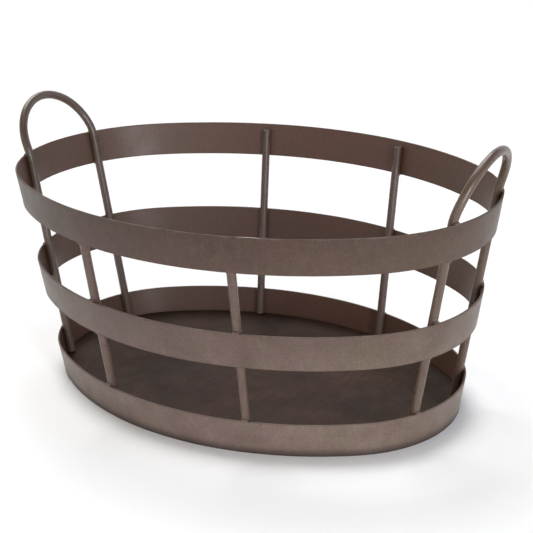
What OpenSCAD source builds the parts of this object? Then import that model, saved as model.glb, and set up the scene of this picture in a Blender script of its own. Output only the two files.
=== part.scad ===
// Oval firewood log rack. Three flat steel hoops are welded round eight upright rods: four straight
// posts, and the four legs of two bent-rod handles. A flat floor closes the lowest hoop.
// Every hoop lies on one tapered oval of four arcs, so the basket widens evenly from floor to rim.

/* [Basket] */
// Length over the lowest hoop's lower edge
base_length = 486; // [476:2:490]
// Width over the lowest hoop's lower edge
base_width = 336; // [330:2:344]
// Length over the top hoop's upper edge
rim_length = 560; // [536:2:580]
// Height from the surface it stands on to the rim
rim_h = 247; // [235:1:265]

/* [Hoops] */
// Height of the steel strip
strip_h = 38.5; // [30:0.5:45]
// Thickness of the steel strip
strip_t = 2; // [1.5:0.1:2.5]
// Height of the middle hoop's lower edge
middle_hoop_z = 103; // [95:0.5:110]

/* [Floor] */
// Height of the floor's underside above the lowest hoop's lower edge
floor_z = 5; // [3:0.5:10]
// Thickness of the floor plate
floor_t = 2; // [1:0.1:3]
// Gap between the floor's edge and the hoop
floor_gap = 0.2; // [0.1:0.05:0.5]

/* [Posts] */
// Diameter of every rod
rod_d = 9.5; // [8:0.5:11]
// Distance of each post from the basket's middle, at the lowest edge
post_x_base = 84; // [70:1:95]
// Distance of each post from the basket's middle, at the rim
post_x_rim = 90; // [75:1:105]
// Depth of the posts' tops below the rim
post_drop = 6; // [4:0.5:10]

/* [Handles] */
// Half the distance between a handle's two legs, which is also the radius of its arch
leg_y = 58; // [50:0.5:62]
// Height above the rim at which the legs bend outwards and the arch starts
bend_rise = 3.5; // [3:0.5:10]
// Lean of the arch from the vertical
arch_lean = 20; // [14:0.5:24]

/* [Welds] */
// Radius of each bead of weld metal
weld_r = 2.2; // [1.8:0.1:2.6]
// Length of the bead that ties a rod to one edge of a hoop
tack_length = 8; // [5:0.5:9]
// Length of each bead under the floor, as an angle of the hoop's arc
floor_bead_angle = 6; // [3:0.5:8]

/* [Hidden] */
$fn = 240;

coat = [0.45, 0.40, 0.37];
dark_coat = [0.24, 0.20, 0.18];
weld_coat = [0.52, 0.47, 0.44];

top_hoop_z = rim_h - strip_h;
rod_r = rod_d / 2;

// The oval at the lower edge. The middle of the basket and the centres of an end arc and a side arc
// are the corners of a triangle with sides of 3, 4 and 5, so the arcs join without a corner.
side_arc_y = base_length - base_width;
end_arc_x = side_arc_y * 3 / 4;
end_r = base_length / 2 - end_arc_x;
side_r = base_width / 2 + side_arc_y;
join_angle = atan2(4, 3);

// How far each half of an arc runs past the plane where it meets its mirror image
half_lap = 2;

// The taper that all the hoops share
slope = (rim_length - base_length) / 2 / rim_h;
taper = atan(slope);
wall = strip_t / cos(taper);

// From the hoops' inner face to the middle of a rod, with room for the coating between them
rod_gap = 0.05;
rod_inset = rod_r / cos(taper) + rod_gap;
floor_top = floor_z + floor_t;

function outside_r(base_r, z) = base_r + slope * z;
function inside_r(base_r, z) = outside_r(base_r, z) - wall;
function blend(a, b, t) = a + (b - a) * t;

// Middle of a post, and of a handle's leg, in the quarter where x and y are positive
function post_touch(x, z) = [x, sqrt(pow(inside_r(side_r, z) - rod_inset, 2) - x * x) - side_arc_y, z];
function leg_touch(z) = [sqrt(pow(inside_r(end_r, z) - rod_inset, 2) - leg_y * leg_y) + end_arc_x, leg_y, z];
function post_at(z) = blend(post_touch(post_x_base, 0), post_touch(post_x_rim, rim_h), z / rim_h);
function leg_at(z) = blend(leg_touch(0), leg_touch(rim_h), z / rim_h);

// Directions from an arc's centre to a rod, seen from above
function post_bearing(z) = atan2(post_at(z).y + side_arc_y, post_at(z).x);
function leg_bearing(z) = atan2(leg_at(z).y, leg_at(z).x - end_arc_x);

foot_z = floor_top + rod_r * sin(taper) + rod_gap;
post_top = rim_h - post_drop;

// The point where a leg bends and the arch starts. The bend swells a little past the rod.
bend = leg_at(rim_h + bend_rise);
bend_swell = 0.05;

// Weld metal sits this far out over the strip's edge, and this far inside it on a post's end
weld_over = 0.8;
weld_under = 1.2;
weld_rise = 0.5;

module in_all_quarters() {
    for (x_side = [1, -1])
        for (y_side = [1, -1])
            at_corner(x_side, y_side)
                children();
}

// Moves what is drawn where x and y are positive to another corner of the basket
module at_corner(x_side, y_side) {
    mirror([x_side > 0 ? 0 : 1, 0, 0])
        mirror([0, y_side > 0 ? 0 : 1, 0])
            children();
}

// Turns two profiles into a closed oval: one round the ends' arc centres, one round the sides'
module oval(end_profile, side_profile) {
    in_all_quarters() {
        translate([end_arc_x, 0, 0])
            mirror([0, 1, 0])
                rotate([0, 0, -join_angle])
                    rotate_extrude(angle = join_angle + half_lap)
                        polygon(end_profile);
        translate([0, -side_arc_y, 0])
            rotate([0, 0, join_angle])
                rotate_extrude(angle = 90 - join_angle + half_lap)
                    polygon(side_profile);
    }
}

// Section of the slanted strip: its faces follow the taper and its two edges are level
function strip(base_r, z) = [
    [inside_r(base_r, z), z],
    [outside_r(base_r, z), z],
    [outside_r(base_r, z + strip_h), z + strip_h],
    [inside_r(base_r, z + strip_h), z + strip_h]
];

function plate(base_r) = [
    [0, floor_z],
    [inside_r(base_r, floor_z) - floor_gap, floor_z],
    [inside_r(base_r, floor_z) - floor_gap, floor_top],
    [0, floor_top]
];

module hoop(z) {
    oval(strip(end_r, z), strip(side_r, z));
}

module floor_plate() {
    oval(plate(end_r), plate(side_r));
}

module rod(from, to) {
    run = to - from;
    translate(from)
        rotate([0, acos(run.z / norm(run)), atan2(run.y, run.x)])
            cylinder(h = norm(run), d = rod_d);
}

// A straight post in the quarter where x and y are positive
module post() {
    rod(post_at(foot_z), post_at(post_top));
}

// A handle at the +X end: two legs, the bend at the top of each, and the leaning arch between them
module handle() {
    for (y_side = [1, -1])
        at_corner(1, y_side) {
            rod(leg_at(foot_z), bend);
            translate(bend)
                sphere(r = rod_r + bend_swell);
        }
    translate([bend.x, 0, bend.z])
        rotate([0, arch_lean, 0])
            rotate([90, 0, 90])
                rotate_extrude(angle = 180)
                    translate([leg_y, 0])
                        circle(d = rod_d);
}

module all_rods() {
    for (x_side = [1, -1]) {
        for (y_side = [1, -1])
            at_corner(x_side, y_side)
                post();
        at_corner(x_side, 1)
            handle();
    }
}

// A short level bead. The point is on a rod's middle line, bearing is the way out to the strip, and
// over and rise move the bead outwards and upwards.
module tack(point, bearing, over, rise) {
    translate(point)
        rotate([0, 0, bearing])
            translate([over, 0, rise])
                rotate([90, 0, 0])
                    cylinder(h = tack_length, r = weld_r, center = true);
}

// The tacks where one hoop crosses the post and the leg of a quarter, on the edge at height z.
// Sense is 1 on an upper edge and -1 on a lower edge.
module post_tack(z, sense) {
    tack(post_at(z), post_bearing(z), rod_inset + weld_over, sense * weld_rise);
}

module leg_tack(z, sense) {
    tack(leg_at(z), leg_bearing(z), rod_inset + weld_over, sense * weld_rise);
}

module post_end_tack() {
    tack(post_at(post_top), post_bearing(post_top), rod_inset - weld_under, weld_rise);
}

// A bead under the floor, along the hoop's inner face, at an angle on one arc
module floor_bead(centre, base_r, angle) {
    translate(centre)
        rotate([0, 0, angle - floor_bead_angle / 2])
            rotate_extrude(angle = floor_bead_angle)
                translate([inside_r(base_r, floor_z) - weld_over, floor_z - weld_rise])
                    circle(r = weld_r);
}

module top_hoop() {
    color(coat)
        hoop(top_hoop_z);
}

module middle_hoop() {
    color(coat)
        hoop(middle_hoop_z);
}

module bottom_hoop() {
    color(coat)
        hoop(0);
}

module floor_pan() {
    color(dark_coat)
        floor_plate();
}

module left_handle() {
    color(coat)
        at_corner(-1, 1)
            handle();
}

module right_handle() {
    color(coat)
        handle();
}

module front_left_post() {
    color(coat)
        at_corner(-1, -1)
            post();
}

module front_right_post() {
    color(coat)
        at_corner(1, -1)
            post();
}

module back_left_post() {
    color(coat)
        at_corner(-1, 1)
            post();
}

module back_right_post() {
    color(coat)
        post();
}

module top_hoop_welds() {
    color(weld_coat)
        difference() {
            in_all_quarters() {
                post_end_tack();
                post_tack(top_hoop_z, -1);
                leg_tack(rim_h, 1);
                leg_tack(top_hoop_z, -1);
            }
            hoop(top_hoop_z);
            all_rods();
        }
}

module middle_hoop_welds() {
    color(weld_coat)
        difference() {
            in_all_quarters()
                for (edge = [[middle_hoop_z, -1], [middle_hoop_z + strip_h, 1]]) {
                    post_tack(edge[0], edge[1]);
                    leg_tack(edge[0], edge[1]);
                }
            hoop(middle_hoop_z);
            all_rods();
        }
}

module bottom_hoop_welds() {
    color(weld_coat)
        difference() {
            in_all_quarters() {
                post_tack(strip_h, 1);
                leg_tack(strip_h, 1);
            }
            hoop(0);
            all_rods();
        }
}

module floor_welds() {
    color(weld_coat)
        difference() {
            in_all_quarters() {
                floor_bead([end_arc_x, 0, 0], end_r, join_angle / 2);
                floor_bead([0, -side_arc_y, 0], side_r, (90 + join_angle) / 2);
            }
            hoop(0);
            floor_plate();
        }
}

top_hoop();
middle_hoop();
bottom_hoop();
floor_pan();
left_handle();
right_handle();
front_left_post();
front_right_post();
back_left_post();
back_right_post();
top_hoop_welds();
middle_hoop_welds();
bottom_hoop_welds();
floor_welds();
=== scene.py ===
import math

import bmesh
import bpy
from mathutils import Matrix, Vector, noise


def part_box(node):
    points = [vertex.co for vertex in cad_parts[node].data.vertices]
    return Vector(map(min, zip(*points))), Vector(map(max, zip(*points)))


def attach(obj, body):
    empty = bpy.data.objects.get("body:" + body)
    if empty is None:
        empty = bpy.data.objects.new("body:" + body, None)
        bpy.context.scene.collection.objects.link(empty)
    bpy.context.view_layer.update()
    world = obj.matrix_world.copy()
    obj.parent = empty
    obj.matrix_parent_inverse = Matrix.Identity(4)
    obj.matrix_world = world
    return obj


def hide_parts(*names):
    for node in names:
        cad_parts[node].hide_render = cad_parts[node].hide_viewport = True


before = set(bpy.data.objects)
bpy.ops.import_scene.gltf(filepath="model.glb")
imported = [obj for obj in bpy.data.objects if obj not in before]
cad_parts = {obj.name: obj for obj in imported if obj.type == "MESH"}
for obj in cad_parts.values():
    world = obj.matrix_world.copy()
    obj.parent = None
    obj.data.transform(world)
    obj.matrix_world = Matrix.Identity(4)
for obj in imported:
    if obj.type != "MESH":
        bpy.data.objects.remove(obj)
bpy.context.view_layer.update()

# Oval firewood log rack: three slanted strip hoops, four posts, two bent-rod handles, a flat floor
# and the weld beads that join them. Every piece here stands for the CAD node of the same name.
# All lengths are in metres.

MM = 0.001

# Camera at the photograph's viewing angle; the lens and the sensor are in millimetres
CAMERA_AZIMUTH = math.radians(31.35)
CAMERA_ELEVATION = math.radians(20.62)
CAMERA_ROLL = math.radians(-1.14)
CAMERA_DISTANCE = 1.3962
CAMERA_TARGET = Vector((0.0186, 0.0, 0.1402))
CAMERA_LENS = 84.86
SENSOR_WIDTH = 36.0

# Steel stock and rods, as in the CAD
STRIP_THICKNESS = 2.0 * MM
ROD_RADIUS = 4.75 * MM
ROD_GAP = 0.05 * MM
POST_X_BASE = 84 * MM
POST_X_RIM = 90 * MM
POST_DROP = 6 * MM
LEG_Y = 58 * MM
BEND_RISE = 3.5 * MM
RIGHT_ARCH_LEAN = math.radians(20)
# The left arch leans further than the CAD's, as in the photograph
LEFT_ARCH_LEAN = math.radians(27)

# Weld beads, thinner than the CAD's. Over, under, rise and drop place a bead's middle line.
TACK_RADIUS = 1.65 * MM
TACK_OVER = 0.35 * MM
TACK_RISE = 0.1 * MM
TACK_LENGTH = 7.2 * MM
END_TACK_LENGTH = 5.4 * MM
END_TACK_RADIUS = 1.2 * MM
END_TACK_UNDER = 0.9 * MM
END_TACK_DROP = 0.5 * MM
FLOOR_BEAD_RADIUS = 2.1 * MM
FLOOR_BEAD_OVER = 0.8 * MM
FLOOR_BEAD_DROP = 0.5 * MM
FLOOR_BEAD_ANGLE = math.radians(6)

# ---------------------------------------------------------------------------------------------
# The oval, measured from the CAD hoops
# ---------------------------------------------------------------------------------------------

top_low, top_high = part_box("top_hoop")
middle_low, middle_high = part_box("middle_hoop")
bottom_low, bottom_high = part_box("bottom_hoop")
floor_low, floor_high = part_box("floor_pan")

rim_z = top_high.z
# The middle of the oval and the centres of an end arc and a side arc are the corners of a triangle
# with sides of 3, 4 and 5. The half lengths are those of the outer face on the ground.
slope = (top_high.x - bottom_high.x) / (top_high.z - bottom_high.z)
taper = math.atan(slope)
half_length = bottom_high.x - slope * bottom_high.z
half_width = bottom_high.y - slope * bottom_high.z
side_arc_y = 2 * (half_length - half_width)
end_arc_x = 0.75 * side_arc_y
end_radius = half_length - end_arc_x
side_radius = half_width + side_arc_y
join_angle = math.atan2(4, 3)
# Measured level: the strip's thickness, and from the strip's inner face to a rod's middle line
wall = STRIP_THICKNESS / math.cos(taper)
rod_inset = ROD_RADIUS / math.cos(taper) + ROD_GAP
foot_z = floor_high.z + ROD_RADIUS * math.sin(taper) + ROD_GAP
post_top_z = rim_z - POST_DROP

# Each arc: centre, radius at the ground and the angles it runs between
ARCS = [
    (Vector((end_arc_x, 0, 0)), end_radius, -join_angle, join_angle),
    (Vector((0, -side_arc_y, 0)), side_radius, join_angle, math.pi - join_angle),
    (Vector((-end_arc_x, 0, 0)), end_radius, math.pi - join_angle, math.pi + join_angle),
    (Vector((0, side_arc_y, 0)), side_radius, math.pi + join_angle, math.tau - join_angle),
]


def stations(spacing):
    """Centre, radius and angle of points spaced evenly round the oval."""
    found = []
    for centre, radius, start, end in ARCS:
        steps = max(3, round((end - start) * radius / spacing))
        for step in range(steps):
            found.append((centre, radius, start + (end - start) * step / steps))
    return found


def oval_point(station, z, depth):
    """A point at height z, depth inside the outer face of the tapered oval."""
    centre, radius, angle = station
    reach = radius + slope * z - depth
    return centre + Vector((reach * math.cos(angle), reach * math.sin(angle), z))


def inside_radius(radius, z):
    """Radius of the strip's inner face at height z, on an arc with this radius at the ground."""
    return radius + slope * z - wall


def post_touch(x, z):
    """Middle of a rod that stands ROD_GAP clear of the inside of a side arc."""
    reach = inside_radius(side_radius, z) - rod_inset
    return Vector((x, math.sqrt(reach * reach - x * x) - side_arc_y, z))


def leg_touch(z):
    """Middle of a handle's leg that stands ROD_GAP clear of the inside of an end arc."""
    reach = inside_radius(end_radius, z) - rod_inset
    return Vector((math.sqrt(reach * reach - LEG_Y * LEG_Y) + end_arc_x, LEG_Y, z))


def post_at(z):
    """A point on the middle line of the back right post."""
    return post_touch(POST_X_BASE, 0).lerp(post_touch(POST_X_RIM, rim_z), z / rim_z)


def leg_at(z):
    """A point on the middle line of the right handle's back leg."""
    return leg_touch(0) + (leg_touch(rim_z) - leg_touch(0)) * (z / rim_z)


def post_bearing(z):
    """Angle at which the side arc faces outwards beside the post."""
    point = post_at(z)
    return math.atan2(point.y + side_arc_y, point.x)


def leg_bearing(z):
    """Angle at which the end arc faces outwards beside the leg."""
    point = leg_at(z)
    return math.atan2(point.y, point.x - end_arc_x)


def mirrored(point, x_side, y_side):
    return Vector((point.x * x_side, point.y * y_side, point.z))


# ---------------------------------------------------------------------------------------------
# Mesh helpers
# ---------------------------------------------------------------------------------------------

def add_piece(name, verts, faces, edge_values, material, inner_values=()):
    """A mesh piece that stands for the CAD node of the same name."""
    mesh = bpy.data.meshes.new(name + "_visual")
    mesh.from_pydata(verts, [], faces)
    shell = bmesh.new()
    shell.from_mesh(mesh)
    bmesh.ops.recalc_face_normals(shell, faces=shell.faces)
    for face in shell.faces:
        face.smooth = True
    shell.to_mesh(mesh)
    shell.free()
    for label, values in (("edge", edge_values), ("inner", inner_values)):
        if values:
            attribute = mesh.attributes.new(label, "FLOAT", "POINT")
            attribute.data.foreach_set("value", values)
    mesh.materials.append(material)
    piece = bpy.data.objects.new(name + "_visual", mesh)
    bpy.context.scene.collection.objects.link(piece)
    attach(piece, "root")
    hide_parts(name)


def ring_faces(first, second, count):
    """Quads between two rings of vertices, given the index where each ring starts."""
    quads = []
    for side in range(count):
        after = (side + 1) % count
        quads.append((first + side, first + after, second + after, second + side))
    return quads


def fan_faces(ring, centre, count):
    return [(ring + side, ring + (side + 1) % count, centre) for side in range(count)]


# A ring of a tube with less than this share of the full radius belongs to an end
NARROW = 0.97


def tube(path, radii, sides):
    """A closed tube round a path: vertices, faces and, for each vertex, 1 at a narrow end and else 0."""
    verts = []
    faces = []
    ends = []
    tangents = []
    for place in range(len(path)):
        before = path[max(place - 1, 0)]
        after = path[min(place + 1, len(path) - 1)]
        tangents.append((after - before).normalized())
    across = tangents[0].orthogonal().normalized()
    for place, point in enumerate(path):
        tangent = tangents[place]
        across = (across - tangent * across.dot(tangent)).normalized()
        other = tangent.cross(across)
        for side in range(sides):
            turn = math.tau * side / sides
            spoke = across * math.cos(turn) + other * math.sin(turn)
            verts.append(point + spoke * radii[place])
            ends.append(1.0 if radii[place] < max(radii) * NARROW else 0.0)
        if place:
            faces += ring_faces((place - 1) * sides, place * sides, sides)
    for ring, point in ((0, path[0]), ((len(path) - 1) * sides, path[-1])):
        verts.append(point.copy())
        ends.append(1.0)
        faces += fan_faces(ring, len(verts) - 1, sides)
    return verts, faces, ends


# ---------------------------------------------------------------------------------------------
# Materials
# ---------------------------------------------------------------------------------------------

class Nodes:
    """A short way to write a node tree."""

    def __init__(self, name):
        self.material = bpy.data.materials.new(name)
        self.material.use_nodes = True
        self.tree = self.material.node_tree
        self.shader = self.tree.nodes["Principled BSDF"]
        coordinates = self.tree.nodes.new("ShaderNodeTexCoord")
        self.place = coordinates.outputs["Object"]

    def link(self, source, target):
        self.tree.links.new(source, target)

    def noise(self, scale, detail, roughness, stretch=(1, 1, 1), shift=(0, 0, 0)):
        mapping = self.tree.nodes.new("ShaderNodeMapping")
        mapping.inputs["Scale"].default_value = stretch
        mapping.inputs["Location"].default_value = shift
        self.link(self.place, mapping.inputs["Vector"])
        texture = self.tree.nodes.new("ShaderNodeTexNoise")
        texture.inputs["Scale"].default_value = scale
        texture.inputs["Detail"].default_value = detail
        texture.inputs["Roughness"].default_value = roughness
        self.link(mapping.outputs["Vector"], texture.inputs["Vector"])
        return texture.outputs["Fac"]

    def ramp(self, value, low, high, to_low=0.0, to_high=1.0):
        mapped = self.tree.nodes.new("ShaderNodeMapRange")
        mapped.inputs["From Min"].default_value = low
        mapped.inputs["From Max"].default_value = high
        mapped.inputs["To Min"].default_value = to_low
        mapped.inputs["To Max"].default_value = to_high
        self.link(value, mapped.inputs["Value"])
        return mapped.outputs["Result"]

    def pattern(self, kind, to_low=0.0, to_high=1.0):
        """One of PATTERNS, as a value that runs between two others."""
        scale, detail, roughness, stretch, shift, low, high = PATTERNS[kind]
        return self.ramp(self.noise(scale, detail, roughness, stretch, shift), low, high, to_low, to_high)

    def mix(self, factor, first, second):
        """Blends two colours, each a node output or an (r, g, b)."""
        blend = self.tree.nodes.new("ShaderNodeMix")
        blend.data_type = "RGBA"
        self.link(factor, blend.inputs["Factor"])
        for value, socket in ((first, blend.inputs[6]), (second, blend.inputs[7])):
            if isinstance(value, tuple):
                socket.default_value = (*value, 1.0)
            else:
                self.link(value, socket)
        return blend.outputs[2]

    def math(self, operation, first, second):
        step = self.tree.nodes.new("ShaderNodeMath")
        step.operation = operation
        for value, socket in ((first, step.inputs[0]), (second, step.inputs[1])):
            if isinstance(value, (int, float)):
                socket.default_value = value
            else:
                self.link(value, socket)
        return step.outputs[0]

    def times(self, first, second):
        return self.math("MULTIPLY", first, second)

    def attribute(self, name):
        reader = self.tree.nodes.new("ShaderNodeAttribute")
        reader.attribute_name = name
        return reader.outputs["Fac"]

    def axis(self, letter):
        split = self.tree.nodes.new("ShaderNodeSeparateXYZ")
        self.link(self.place, split.inputs["Vector"])
        return split.outputs[letter]

    def bump(self, height, strength, distance, normal=None):
        node = self.tree.nodes.new("ShaderNodeBump")
        node.inputs["Strength"].default_value = strength
        node.inputs["Distance"].default_value = distance
        self.link(height, node.inputs["Height"])
        if normal is not None:
            self.link(normal, node.inputs["Normal"])
        return node.outputs["Normal"]


EVEN = (1, 1, 1)
UNMOVED = (0, 0, 0)
# Each pattern: scale, detail, roughness, stretch and shift of its noise, and the levels of noise that
# become its lowest and highest value. A scale of 1 leaves the size to the stretch.
PATTERNS = {
    "clouds": (14, 4, 0.60, EVEN, UNMOVED, 0.34, 0.66),
    "blotches": (38, 4, 0.65, EVEN, (7, 2, 6), 0.42, 0.58),
    "mottle": (150, 4, 0.65, EVEN, (3, 1, 7), 0.30, 0.70),
    "specks": (430, 3, 0.70, EVEN, (6, 2, 5), 0.40, 0.66),
    "streaks": (1, 3, 0.60, (260, 260, 22), UNMOVED, 0.40, 0.62),
    "dust": (24, 5, 0.65, EVEN, (2, 9, 4), 0.25, 0.75),
    "patches": (55, 5, 0.70, EVEN, (9, 4, 2), 0.46, 0.62),
    "soot": (9, 6, 0.70, EVEN, (5, 5, 5), 0.35, 0.65),
    "scrapes": (1, 3, 0.60, (260, 26, 30), (1, 4, 1), 0.40, 0.60),
    "gloss": (38, 4, 0.65, EVEN, (1, 8, 3), 0.30, 0.70),
    "paper": (2, 2, 0.50, EVEN, UNMOVED, 0.30, 0.70),
}

# Coat colours, each multiplied by a coat's own shade
DARK = (0.035, 0.016, 0.008)
MIDDLE = (0.050, 0.023, 0.013)
OLIVE = (0.070, 0.046, 0.018)
PLUM = (0.077, 0.029, 0.023)
WORN = (0.115, 0.080, 0.062)
# The two dust colours also carry painted floor bounce light on the outer faces
OLIVE_DUST_AND_BOUNCE = (0.258, 0.207, 0.152)
PLUM_DUST_AND_BOUNCE = (0.272, 0.193, 0.182)
# Colours that are the same in every coat
FADED_OLIVE = (0.150, 0.084, 0.052)
FADED_PLUM = (0.154, 0.075, 0.060)
# Soot, whose colour is also used for the dark specks and for the painted shade at the foot
SOOT_AND_SHADE = (0.015, 0.009, 0.007)

# The hue runs from 0, olive, to 1, plum: more plum in the middle of the rack's length than at the ends
HUE_SPAN = (0.06, 0.24)
MIDDLE_HUE = 0.55
END_HUE = 0.15
BLOTCH_HUE = 0.45

# How strongly each layer covers what lies under it
MOTTLE_COVER = 0.75
STREAK_COVER = 0.08
SPECK_COVER = 0.40
SPECK_OVER_FILM = 0.24
FADED_COVER = 0.50
EDGE_DARKENING = 0.35
EDGE_WEAR = 0.60
SCRAPE_COVER = 0.35
# Painted shade at the foot: how dark it gets at the ground, and the height at which it fades out
FOOT_SHADE = 0.90
FOOT_HEIGHT = 10 * MM

# Painted floor bounce light with dust on the outer faces: lighter towards the ground, thick at the ground
# and gone at this height
BOUNCE_AND_DUST_TOP = 240 * MM
BOUNCE_AND_DUST_AMOUNT = 0.87
BOUNCE_AND_DUST_RANGE = (0.35, 0.85)

# Gloss and surface
GLOSS_RANGE = (-0.05, 0.07)
EDGE_ROUGHNESS = 0.25
PEEL_NOISE = (620, 2, 0.5)
PEEL_BUMP = 0.22
GRAIN_NOISE = (1, 2, 0.5, (520, 520, 60), (2, 2, 2))
GRAIN_BUMP = 0.03
BUMP_DEPTH = 0.25 * MM


def coat_colour(nodes, shade, dust_and_bounce, faded, grime):
    """Mottled brown between olive and plum, with streaks, specks, dust, painted floor bounce light that
    lightens the outer faces towards the ground, faded inner faces, rubbed edges, soot on the floor, and
    painted shade at the foot."""
    tones = (DARK, MIDDLE, OLIVE, PLUM, WORN, OLIVE_DUST_AND_BOUNCE, PLUM_DUST_AND_BOUNCE)
    dark, middle, olive, plum, worn, olive_dust_and_bounce, plum_dust_and_bounce = [
        tuple(value * shade for value in tone) for tone in tones]
    from_middle = nodes.math("ABSOLUTE", nodes.axis("X"), 0.0)
    drift = nodes.ramp(from_middle, *HUE_SPAN, MIDDLE_HUE, END_HUE)
    hue = nodes.math("ADD", drift, nodes.pattern("blotches", 0.0, BLOTCH_HUE))
    specks = nodes.pattern("specks")
    colour = nodes.mix(nodes.pattern("clouds"), dark, middle)
    mottle = nodes.times(nodes.pattern("mottle"), MOTTLE_COVER)
    colour = nodes.mix(mottle, colour, nodes.mix(hue, olive, plum))
    colour = nodes.mix(nodes.times(nodes.pattern("streaks"), STREAK_COVER), colour, worn)
    colour = nodes.mix(nodes.times(specks, SPECK_COVER), colour, SOOT_AND_SHADE)
    inner = nodes.attribute("inner")
    # Painted floor bounce light with dust: the outer faces get lighter towards the ground, broken up by the
    # dust pattern
    painted_bounce = nodes.ramp(nodes.axis("Z"), 0.0, BOUNCE_AND_DUST_TOP, 1.0, 0.0)
    dust_and_bounce_pattern = nodes.pattern("dust", *[share * dust_and_bounce for share in BOUNCE_AND_DUST_RANGE])
    bounce_and_dust_film = nodes.math("ADD", nodes.times(painted_bounce, dust_and_bounce_pattern), faded)
    bounce_and_dust_film = nodes.times(bounce_and_dust_film, nodes.math("SUBTRACT", 1.0, inner))
    colour = nodes.mix(bounce_and_dust_film, colour, nodes.mix(hue, olive_dust_and_bounce, plum_dust_and_bounce))
    colour = nodes.mix(nodes.times(inner, FADED_COVER), colour, nodes.mix(hue, FADED_OLIVE, FADED_PLUM))
    colour = nodes.mix(nodes.times(specks, SPECK_OVER_FILM), colour, dark)
    edge = nodes.attribute("edge")
    colour = nodes.mix(nodes.times(edge, EDGE_DARKENING), colour, dark)
    rubbed = nodes.times(nodes.times(edge, nodes.pattern("patches")), EDGE_WEAR)
    colour = nodes.mix(rubbed, colour, worn)
    if grime:
        colour = nodes.mix(nodes.times(nodes.pattern("soot"), grime), colour, SOOT_AND_SHADE)
        scrapes = nodes.times(nodes.pattern("scrapes"), grime * SCRAPE_COVER)
        return nodes.mix(scrapes, colour, SOOT_AND_SHADE)
    # Painted shade at the foot: darker towards the ground, where the rack stands on the floor
    foot = nodes.ramp(nodes.axis("Z"), 0.0, FOOT_HEIGHT, FOOT_SHADE, 0.0)
    return nodes.mix(foot, colour, SOOT_AND_SHADE)


def coat(name, shade, roughness, dust_and_bounce=BOUNCE_AND_DUST_AMOUNT, faded=0.0, grime=0.0, sheen=0.45):
    """Satin baked-on coating with an orange-peel surface and a faint upright grain."""
    nodes = Nodes(name)
    nodes.link(coat_colour(nodes, shade, dust_and_bounce, faded, grime), nodes.shader.inputs["Base Color"])
    gloss = nodes.pattern("gloss", *[roughness + change for change in GLOSS_RANGE])
    rubbed = nodes.times(nodes.attribute("edge"), EDGE_ROUGHNESS)
    nodes.link(nodes.math("ADD", gloss, rubbed), nodes.shader.inputs["Roughness"])
    nodes.shader.inputs["Specular IOR Level"].default_value = sheen
    normal = nodes.bump(nodes.noise(*PEEL_NOISE), PEEL_BUMP, BUMP_DEPTH)
    normal = nodes.bump(nodes.noise(*GRAIN_NOISE), GRAIN_BUMP, BUMP_DEPTH, normal)
    nodes.link(normal, nodes.shader.inputs["Normal"])
    return nodes.material


# Each coat's dust amount also sets how much painted floor bounce light it gets
hoop_coat = coat("hoop_coat", 1.0, 0.42)
rod_coat = coat("rod_coat", 1.0, 0.29, dust_and_bounce=0.20, faded=0.17, sheen=0.5)
floor_coat = coat("floor_coat", 1.05, 0.62, dust_and_bounce=0.03, grime=0.85, sheen=0.1)
weld_coat = coat("weld_coat", 1.1, 0.38, dust_and_bounce=0.25, faded=0.22)

# ---------------------------------------------------------------------------------------------
# Hoops
# ---------------------------------------------------------------------------------------------

HOOP_SPACING = 4 * MM
CORNER_RADIUS = 0.5 * MM
CORNER_STEPS = 4
# From a corner to the nearest row of a flat face, in corner radii
CORNER_SUPPORT = 1.6
FACE_ROWS = 7
# Waves from bending: height, and the scale and share of long and short ones
HOOP_WAVE = 0.30 * MM
LONG_WAVE_SCALE = 11
SHORT_WAVE_SCALE = 31
SHORT_WAVE_SHARE = 0.4


def strip_section(low_z, high_z):
    """Rounded section of the strip as (depth, z, edge), once round it."""
    support = CORNER_RADIUS * CORNER_SUPPORT
    first = low_z + CORNER_RADIUS + support
    last = high_z - CORNER_RADIUS - support
    rows = [first + (last - first) * row / (FACE_ROWS - 1) for row in range(FACE_ROWS)]
    near = CORNER_RADIUS
    far = wall - CORNER_RADIUS
    section = []

    def corner(depth, z, start):
        for step in range(CORNER_STEPS + 1):
            turn = math.radians(start - 90 * step / CORNER_STEPS)
            section.append((
                depth + CORNER_RADIUS * math.cos(turn),
                z + CORNER_RADIUS * math.sin(turn),
                1.0,
            ))

    corner(near, low_z + CORNER_RADIUS, 270)
    section.extend((0.0, z, 0.0) for z in rows)
    corner(near, high_z - CORNER_RADIUS, 180)
    corner(far, high_z - CORNER_RADIUS, 90)
    section.extend((wall, z, 0.0) for z in reversed(rows))
    corner(far, low_z + CORNER_RADIUS, 0)
    return section


def build_hoop(name, low, high, seed):
    """A strip hoop on the tapered oval between the CAD hoop's lower and upper edge."""
    section = strip_section(low.z, high.z)
    verts = []
    faces = []
    edges = []
    inner = []
    marks = stations(HOOP_SPACING)
    for station in marks:
        for depth, z, edge in section:
            point = oval_point(station, z, depth)
            wave = noise.noise(point * LONG_WAVE_SCALE + Vector((seed, seed, 0)))
            short_wave = noise.noise(point * SHORT_WAVE_SCALE + Vector((0, seed, seed)))
            wave += SHORT_WAVE_SHARE * short_wave
            outward = Vector((math.cos(station[2]), math.sin(station[2]), 0))
            verts.append(point + outward * HOOP_WAVE * wave)
            edges.append(edge)
            inner.append(1.0 if depth > wall / 2 else 0.0)
    count = len(section)
    for place in range(len(marks)):
        faces += ring_faces(place * count, (place + 1) % len(marks) * count, count)
    add_piece(name, verts, faces, edges, hoop_coat, inner)


build_hoop("top_hoop", top_low, top_high, seed=1.7)
build_hoop("middle_hoop", middle_low, middle_high, seed=5.1)
build_hoop("bottom_hoop", bottom_low, bottom_high, seed=8.3)

# ---------------------------------------------------------------------------------------------
# Rods
# ---------------------------------------------------------------------------------------------

ROD_SIDES = 36
ROD_STEP = 3 * MM
END_CHAMFER = 0.7 * MM
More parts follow.
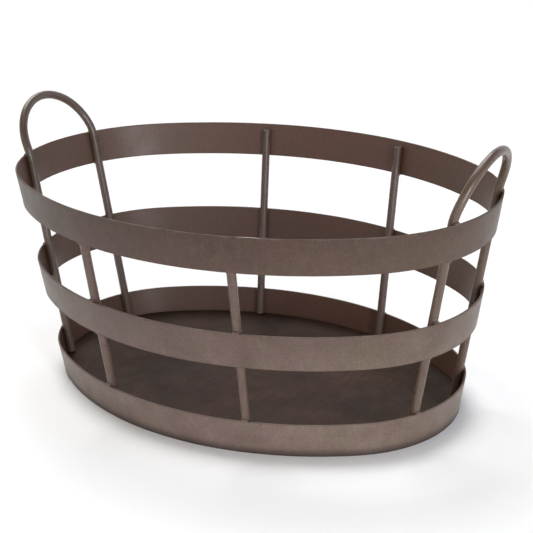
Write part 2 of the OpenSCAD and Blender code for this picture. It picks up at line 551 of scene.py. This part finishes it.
# Where the second ring of full radius lies, in chamfers from the end
CHAMFER_SUPPORT = 1.6
# The cut face of a rod: how far its rim stands back, and the share of its radius that is flat
END_SETBACK = 0.02 * MM
END_FLAT = 0.9


def spaced(points, step):
    """The same path with points an even step apart."""
    lengths = [0.0]
    for before, after in zip(points, points[1:]):
        lengths.append(lengths[-1] + (after - before).length)
    count = max(2, round(lengths[-1] / step))
    path = []
    piece = 0
    for place in range(count + 1):
        run = lengths[-1] * place / count
        while piece < len(points) - 2 and lengths[piece + 1] < run:
            piece += 1
        share = (run - lengths[piece]) / (lengths[piece + 1] - lengths[piece])
        path.append(points[piece].lerp(points[piece + 1], min(1.0, share)))
    return path


def rod_with_ends(path):
    """A rod along a path, with a small chamfer and a flat cut at both ends."""
    face = ROD_RADIUS - END_CHAMFER
    depths = [0.0, END_SETBACK, END_CHAMFER, END_CHAMFER * CHAMFER_SUPPORT]
    end_radii = [face * END_FLAT, face, ROD_RADIUS, ROD_RADIUS]
    start = (path[1] - path[0]).normalized()
    finish = (path[-1] - path[-2]).normalized()
    run = [path[0] + start * depth for depth in depths]
    run += path[1:-1]
    run += [path[-1] - finish * depth for depth in reversed(depths)]
    radii = end_radii + [ROD_RADIUS] * (len(path) - 2) + end_radii[::-1]
    return tube(run, radii, ROD_SIDES)


def build_post(name, x_side, y_side):
    """A straight post from the floor to just under the rim."""
    ends = [mirrored(post_at(z), x_side, y_side) for z in (foot_z, post_top_z)]
    verts, faces, edges = rod_with_ends(spaced(ends, ROD_STEP))
    add_piece(name, verts, faces, edges, rod_coat)


build_post("front_left_post", -1, -1)
build_post("front_right_post", 1, -1)
build_post("back_left_post", -1, 1)
build_post("back_right_post", 1, 1)

ARCH_STEPS = 72
BEND_SMOOTHING = 5


def build_handle(name, x_side, lean):
    """Two legs that lean with the hoops and a half-round arch that leans further out."""
    bend = leg_at(rim_z + BEND_RISE)
    points = [leg_at(foot_z)]
    for step in range(ARCH_STEPS + 1):
        turn = math.pi * step / ARCH_STEPS
        rise = LEG_Y * math.sin(turn)
        points.append(Vector((
            bend.x + rise * math.sin(lean),
            LEG_Y * math.cos(turn),
            bend.z + rise * math.cos(lean),
        )))
    points.append(mirrored(leg_at(foot_z), 1, -1))
    path = spaced([mirrored(point, x_side, 1) for point in points], ROD_STEP)
    for _ in range(BEND_SMOOTHING):
        eased = [(before + point * 2 + after) / 4 for before, point, after in zip(path, path[1:], path[2:])]
        path = [path[0]] + eased + [path[-1]]
    verts, faces, edges = rod_with_ends(path)
    add_piece(name, verts, faces, edges, rod_coat)


build_handle("left_handle", -1, LEFT_ARCH_LEAN)
build_handle("right_handle", 1, RIGHT_ARCH_LEAN)

# ---------------------------------------------------------------------------------------------
# Floor
# ---------------------------------------------------------------------------------------------

FLOOR_SPACING = 8 * MM
FLOOR_RINGS = 26
FLOOR_CORNER = 0.4 * MM
FLOOR_CORNER_STEPS = 4
# Shares of the way from the middle to the rim where the rings of a flat face start and end
FLOOR_HUB = 0.04
FLOOR_FLAT = 0.995
# Unevenness: height, scale of the noise, and how fast it fades in from the rim
FLOOR_WARP = 0.35 * MM
WARP_SCALE = 9
WARP_FADE = 5


def build_floor():
    """A flat plate whose rim is rounded and whose middle is very slightly uneven."""
    marks = stations(FLOOR_SPACING)
    count = len(marks)
    low = floor_low.z
    high = floor_high.z
    # How far the floor's rim stands inside the outer face of the oval
    inset = half_length + slope * low - floor_high.x
    spread = FLOOR_FLAT - FLOOR_HUB
    shares = [FLOOR_HUB + spread * step / (FLOOR_RINGS - 1) for step in range(FLOOR_RINGS)]
    bend = []
    for step in range(FLOOR_CORNER_STEPS + 1):
        turn = math.radians(90 - 90 * step / FLOOR_CORNER_STEPS)
        bend.append((FLOOR_CORNER * (1 - math.cos(turn)), FLOOR_CORNER * (1 - math.sin(turn))))
    # Each ring: depth inside the rim, height, edge value and share of the way out
    rings = [(0.0, high, 0.0, share) for share in shares]
    rings += [(depth, high - drop, 1.0, 1.0) for depth, drop in bend]
    rings += [(depth, low + drop, 1.0, 1.0) for depth, drop in reversed(bend)]
    rings += [(0.0, low, 0.0, share) for share in reversed(shares)]
    verts = []
    faces = []
    edges = []
    for place, (depth, z, edge, share) in enumerate(rings):
        fade = min(1.0, (1.0 - share) * WARP_FADE)
        for station in marks:
            rim = oval_point(station, low, inset + depth)
            warp = noise.noise(Vector((rim.x, rim.y, 0)) * share * WARP_SCALE) * FLOOR_WARP
            verts.append(Vector((rim.x * share, rim.y * share, z + warp * fade)))
            edges.append(edge)
        if place:
            faces += ring_faces((place - 1) * count, place * count, count)
    for start, z in ((0, high), ((len(rings) - 1) * count, low)):
        verts.append(Vector((0, 0, z)))
        edges.append(0.0)
        faces += fan_faces(start, len(verts) - 1, count)
    add_piece("floor_pan", verts, faces, edges, floor_coat)


build_floor()

# ---------------------------------------------------------------------------------------------
# Welds
# ---------------------------------------------------------------------------------------------

BEAD_SIDES = 20
BEAD_STEP = 0.28 * MM
RIPPLE_PITCH = 1.15 * MM
RIPPLE_HEIGHT = 0.055
# Slow swelling along a bead, and lumps all over it
SWELL_SCALE = 400
SWELL_HEIGHT = 0.10
LUMP_SCALE = 520
LUMP_HEIGHT = 0.22 * MM
# The least that a rounded end narrows to, squared, as a share of the radius
CAP_LEAST = 0.03
# Every bead is different: the seed of the first one in each node, and the step to the next
TACK_SEED = 0.7
FLOOR_BEAD_SEED = 2.9
SEED_STEP = 1.3


class Beads:
    """Collects the beads of one CAD node into one mesh."""

    def __init__(self):
        self.verts = []
        self.faces = []
        self.edges = []

    def add(self, path, radius, seed):
        """A rippled bead along a path, tapering to rounded ends."""
        path = spaced(path, BEAD_STEP)
        last = len(path) - 1
        radii = []
        for place in range(last + 1):
            run = place * BEAD_STEP
            from_end = min(place, last - place) * BEAD_STEP / radius
            cap = math.sqrt(max(CAP_LEAST, 1 - max(0.0, 1 - from_end) ** 2))
            ripple = 1 + RIPPLE_HEIGHT * math.sin(math.tau * run / RIPPLE_PITCH + seed)
            swell = 1 + SWELL_HEIGHT * noise.noise(Vector((run * SWELL_SCALE, seed, 0)))
            radii.append(radius * cap * ripple * swell)
        verts, faces, _ = tube(path, radii, BEAD_SIDES)
        shift = len(self.verts)
        middle = path[last // 2]
        for vert in verts:
            lump = noise.noise(vert * LUMP_SCALE + Vector((seed, 0, 0)))
            away = (vert - middle).normalized()
            self.verts.append(vert + away * lump * LUMP_HEIGHT)
            self.edges.append(min(1.0, max(0.0, 0.5 + lump)))
        for face in faces:
            self.faces.append(tuple(index + shift for index in face))

    def build(self, name):
        add_piece(name, self.verts, self.faces, self.edges, weld_coat)


def tack_path(point, bearing, over, rise, length, corner):
    """The middle line of a short level bead between a rod and the edge of a hoop."""
    out = Vector((math.cos(bearing), math.sin(bearing), 0))
    along = Vector((-out.y, out.x, 0))
    middle = point + out * over + Vector((0, 0, rise))
    ends = [middle - along * length / 2, middle + along * length / 2]
    return [mirrored(end, *corner) for end in ends]


CORNERS = [(x_side, y_side) for x_side in (1, -1) for y_side in (1, -1)]


def build_tacks(name, edges, post_ends=False):
    """Tacks at all four corners on hoop edges, each edge given as the kind of rod, its height and 1 for
    an upper or -1 for a lower one; post_ends adds a tack at the top of each post."""
    beads = Beads()
    seed = TACK_SEED
    for corner in CORNERS:
        for kind, z, sense in edges:
            point = post_at(z) if kind == "post" else leg_at(z)
            bearing = post_bearing(z) if kind == "post" else leg_bearing(z)
            path = tack_path(point, bearing, rod_inset + TACK_OVER, sense * TACK_RISE, TACK_LENGTH, corner)
            beads.add(path, TACK_RADIUS, seed)
            seed += SEED_STEP
        if post_ends:
            point = post_at(post_top_z)
            bearing = post_bearing(post_top_z)
            over = rod_inset - END_TACK_UNDER
            path = tack_path(point, bearing, over, -END_TACK_DROP, END_TACK_LENGTH, corner)
            beads.add(path, END_TACK_RADIUS, seed)
            seed += SEED_STEP
    beads.build(name)


build_tacks("top_hoop_welds", [
    ("post", top_low.z, -1),
    ("leg", top_high.z, 1),
    ("leg", top_low.z, -1),
], post_ends=True)
build_tacks("middle_hoop_welds", [
    ("post", middle_low.z, -1),
    ("post", middle_high.z, 1),
    ("leg", middle_low.z, -1),
    ("leg", middle_high.z, 1),
])
build_tacks("bottom_hoop_welds", [
    ("post", bottom_high.z, 1),
    ("leg", bottom_high.z, 1),
])

# Where the two floor beads of each arc lie, as shares of it, and the steps along one bead
FLOOR_BEAD_SHARES = (0.25, 0.75)
FLOOR_BEAD_STEPS = 6


def build_floor_beads():
    """Short beads under the edge of the floor, against the bottom hoop."""
    beads = Beads()
    seed = FLOOR_BEAD_SEED
    for centre, radius, start, end in ARCS:
        for share in FLOOR_BEAD_SHARES:
            angle = start + (end - start) * share
            path = []
            for step in range(FLOOR_BEAD_STEPS + 1):
                turn = angle + FLOOR_BEAD_ANGLE * (step / FLOOR_BEAD_STEPS - 0.5)
                point = oval_point((centre, radius, turn), floor_low.z, wall + FLOOR_BEAD_OVER)
                path.append(point - Vector((0, 0, FLOOR_BEAD_DROP)))
            beads.add(path, FLOOR_BEAD_RADIUS, seed)
            seed += SEED_STEP
    beads.build("floor_welds")


build_floor_beads()

# ---------------------------------------------------------------------------------------------
# Stage, light and camera
# ---------------------------------------------------------------------------------------------

STAGE_SIZE = 40.0
STAGE_TONES = ((0.88, 0.88, 0.88), (0.90, 0.90, 0.90))
STAGE_ROUGHNESS = 0.9
STAGE_SHEEN = 0.1
WALL_LIGHT = 0.95
CEILING_LIGHT = 0.05
# Sines of the elevations between which the walls give way to the ceiling
WALL_TOP = (0.42, 0.58)
LEFT_TINT = (1.06, 0.98, 0.78)
RIGHT_TINT = (0.93, 1.01, 1.26)
# Each wide light: name, azimuth, elevation and spread in degrees, and strength
SKYLIGHTS = [
    ("top_skylight", 0, 90, 50, 0.53),
    ("back_skylight", 230, 54, 44, 2.60),
]
# Each soft light: name, azimuth and elevation in degrees, distance, width, height and watts
SOFTBOXES = [
    ("strip_softbox", 55, 8, 2.2, 0.25, 1.2, 30.6),
    ("front_softbox", 20, 8, 2.2, 0.60, 1.2, 3.8),
    ("back_softbox", 180, 40, 2.4, 1.6, 1.2, 2.4),
]
# The point that the soft lights' distances are measured from, and the one that they face
SOFTBOX_BASE = Vector((0, 0, 0.10))
SOFTBOX_AIM = Vector((0, 0, 0.12))


def build_stage():
    """A plain pale floor."""
    half = STAGE_SIZE / 2
    corners = [(-half, -half, 0), (half, -half, 0), (half, half, 0), (-half, half, 0)]
    mesh = bpy.data.meshes.new("stage_floor")
    mesh.from_pydata(corners, [], [(0, 1, 2, 3)])
    nodes = Nodes("stage_white")
    nodes.link(nodes.mix(nodes.pattern("paper"), *STAGE_TONES), nodes.shader.inputs["Base Color"])
    nodes.shader.inputs["Roughness"].default_value = STAGE_ROUGHNESS
    nodes.shader.inputs["Specular IOR Level"].default_value = STAGE_SHEEN
    mesh.materials.append(nodes.material)
    stage = bpy.data.objects.new("stage_floor", mesh)
    bpy.context.scene.collection.objects.link(stage)


def heading(azimuth, elevation):
    """Direction towards a light; azimuth in degrees from the front, anticlockwise seen from above."""
    turn = math.radians(azimuth)
    rise = math.radians(elevation)
    return Vector((math.sin(turn) * math.cos(rise), -math.cos(turn) * math.cos(rise), math.sin(rise)))


def build_room():
    """Pale walls under a dim ceiling, warm on the camera's left and cool on its right."""
    world = bpy.data.worlds.new("studio_white")
    world.use_nodes = True
    tree = world.node_tree
    room = tree.nodes["Background"]
    direction = tree.nodes.new("ShaderNodeTexCoord")
    across = tree.nodes.new("ShaderNodeVectorMath")
    across.operation = "DOT_PRODUCT"
    across.inputs[1].default_value = (math.cos(CAMERA_AZIMUTH), math.sin(CAMERA_AZIMUTH), 0)
    share = tree.nodes.new("ShaderNodeMapRange")
    share.inputs["From Min"].default_value = -1.0
    tint = tree.nodes.new("ShaderNodeMix")
    tint.data_type = "RGBA"
    tint.inputs[6].default_value = (*LEFT_TINT, 1.0)
    tint.inputs[7].default_value = (*RIGHT_TINT, 1.0)
    tree.links.new(direction.outputs["Generated"], across.inputs[0])
    tree.links.new(across.outputs["Value"], share.inputs["Value"])
    tree.links.new(share.outputs["Result"], tint.inputs["Factor"])
    tree.links.new(tint.outputs[2], room.inputs["Color"])
    split = tree.nodes.new("ShaderNodeSeparateXYZ")
    level = tree.nodes.new("ShaderNodeMapRange")
    level.inputs["From Min"].default_value = WALL_TOP[0]
    level.inputs["From Max"].default_value = WALL_TOP[1]
    level.inputs["To Min"].default_value = WALL_LIGHT
    level.inputs["To Max"].default_value = CEILING_LIGHT
    tree.links.new(direction.outputs["Generated"], split.inputs["Vector"])
    tree.links.new(split.outputs["Z"], level.inputs["Value"])
    tree.links.new(level.outputs["Result"], room.inputs["Strength"])
    # Looked at directly, the room is plain white, whatever light it gives
    seen = tree.nodes.new("ShaderNodeBackground")
    seen.inputs["Color"].default_value = (1.0, 1.0, 1.0, 1.0)
    ray = tree.nodes.new("ShaderNodeLightPath")
    choice = tree.nodes.new("ShaderNodeMixShader")
    tree.links.new(ray.outputs["Is Camera Ray"], choice.inputs[0])
    tree.links.new(room.outputs["Background"], choice.inputs[1])
    tree.links.new(seen.outputs["Background"], choice.inputs[2])
    tree.links.new(choice.outputs["Shader"], tree.nodes["World Output"].inputs["Surface"])
    bpy.context.scene.world = world
    bpy.context.scene.view_settings.view_transform = "Standard"


def build_skylights():
    """Broad suns, one overhead and a stronger one from behind."""
    for name, azimuth, elevation, spread, strength in SKYLIGHTS:
        light = bpy.data.lights.new(name, "SUN")
        light.energy = strength
        light.angle = math.radians(spread)
        lamp = bpy.data.objects.new(name, light)
        lamp.rotation_euler = heading(azimuth, elevation).to_track_quat("Z", "Y").to_euler()
        bpy.context.scene.collection.objects.link(lamp)


def build_softboxes():
    """Rectangular lights, two on the camera's side and one behind the rack."""
    for name, azimuth, elevation, distance, width, height, watts in SOFTBOXES:
        light = bpy.data.lights.new(name, "AREA")
        light.shape = "RECTANGLE"
        light.size = width
        light.size_y = height
        light.energy = watts
        lamp = bpy.data.objects.new(name, light)
        lamp.location = heading(azimuth, elevation) * distance + SOFTBOX_BASE
        lamp.rotation_euler = (SOFTBOX_AIM - lamp.location).to_track_quat("-Z", "Y").to_euler()
        lamp.visible_camera = False
        bpy.context.scene.collection.objects.link(lamp)


def build_camera():
    """The photograph's camera: where it stands, how it is rolled, and its lens."""
    back = Vector((
        math.sin(CAMERA_AZIMUTH) * math.cos(CAMERA_ELEVATION),
        -math.cos(CAMERA_AZIMUTH) * math.cos(CAMERA_ELEVATION),
        math.sin(CAMERA_ELEVATION),
    ))
    right = Vector((math.cos(CAMERA_AZIMUTH), math.sin(CAMERA_AZIMUTH), 0))
    up = back.cross(right)
    rolled_right = right * math.cos(CAMERA_ROLL) + up * math.sin(CAMERA_ROLL)
    rolled_up = up * math.cos(CAMERA_ROLL) - right * math.sin(CAMERA_ROLL)
    lens = bpy.data.cameras.new("photo_camera")
    lens.lens = CAMERA_LENS
    lens.sensor_fit = "HORIZONTAL"
    lens.sensor_width = SENSOR_WIDTH
    lens.clip_start = 0.01
    lens.clip_end = 100.0
    camera = bpy.data.objects.new("photo_camera", lens)
    turn = Matrix((rolled_right, rolled_up, back)).transposed().to_4x4()
    camera.matrix_world = Matrix.Translation(CAMERA_TARGET + back * CAMERA_DISTANCE) @ turn
    bpy.context.scene.collection.objects.link(camera)
    bpy.context.scene.camera = camera


build_stage()
build_room()
build_skylights()
build_softboxes()
build_camera()
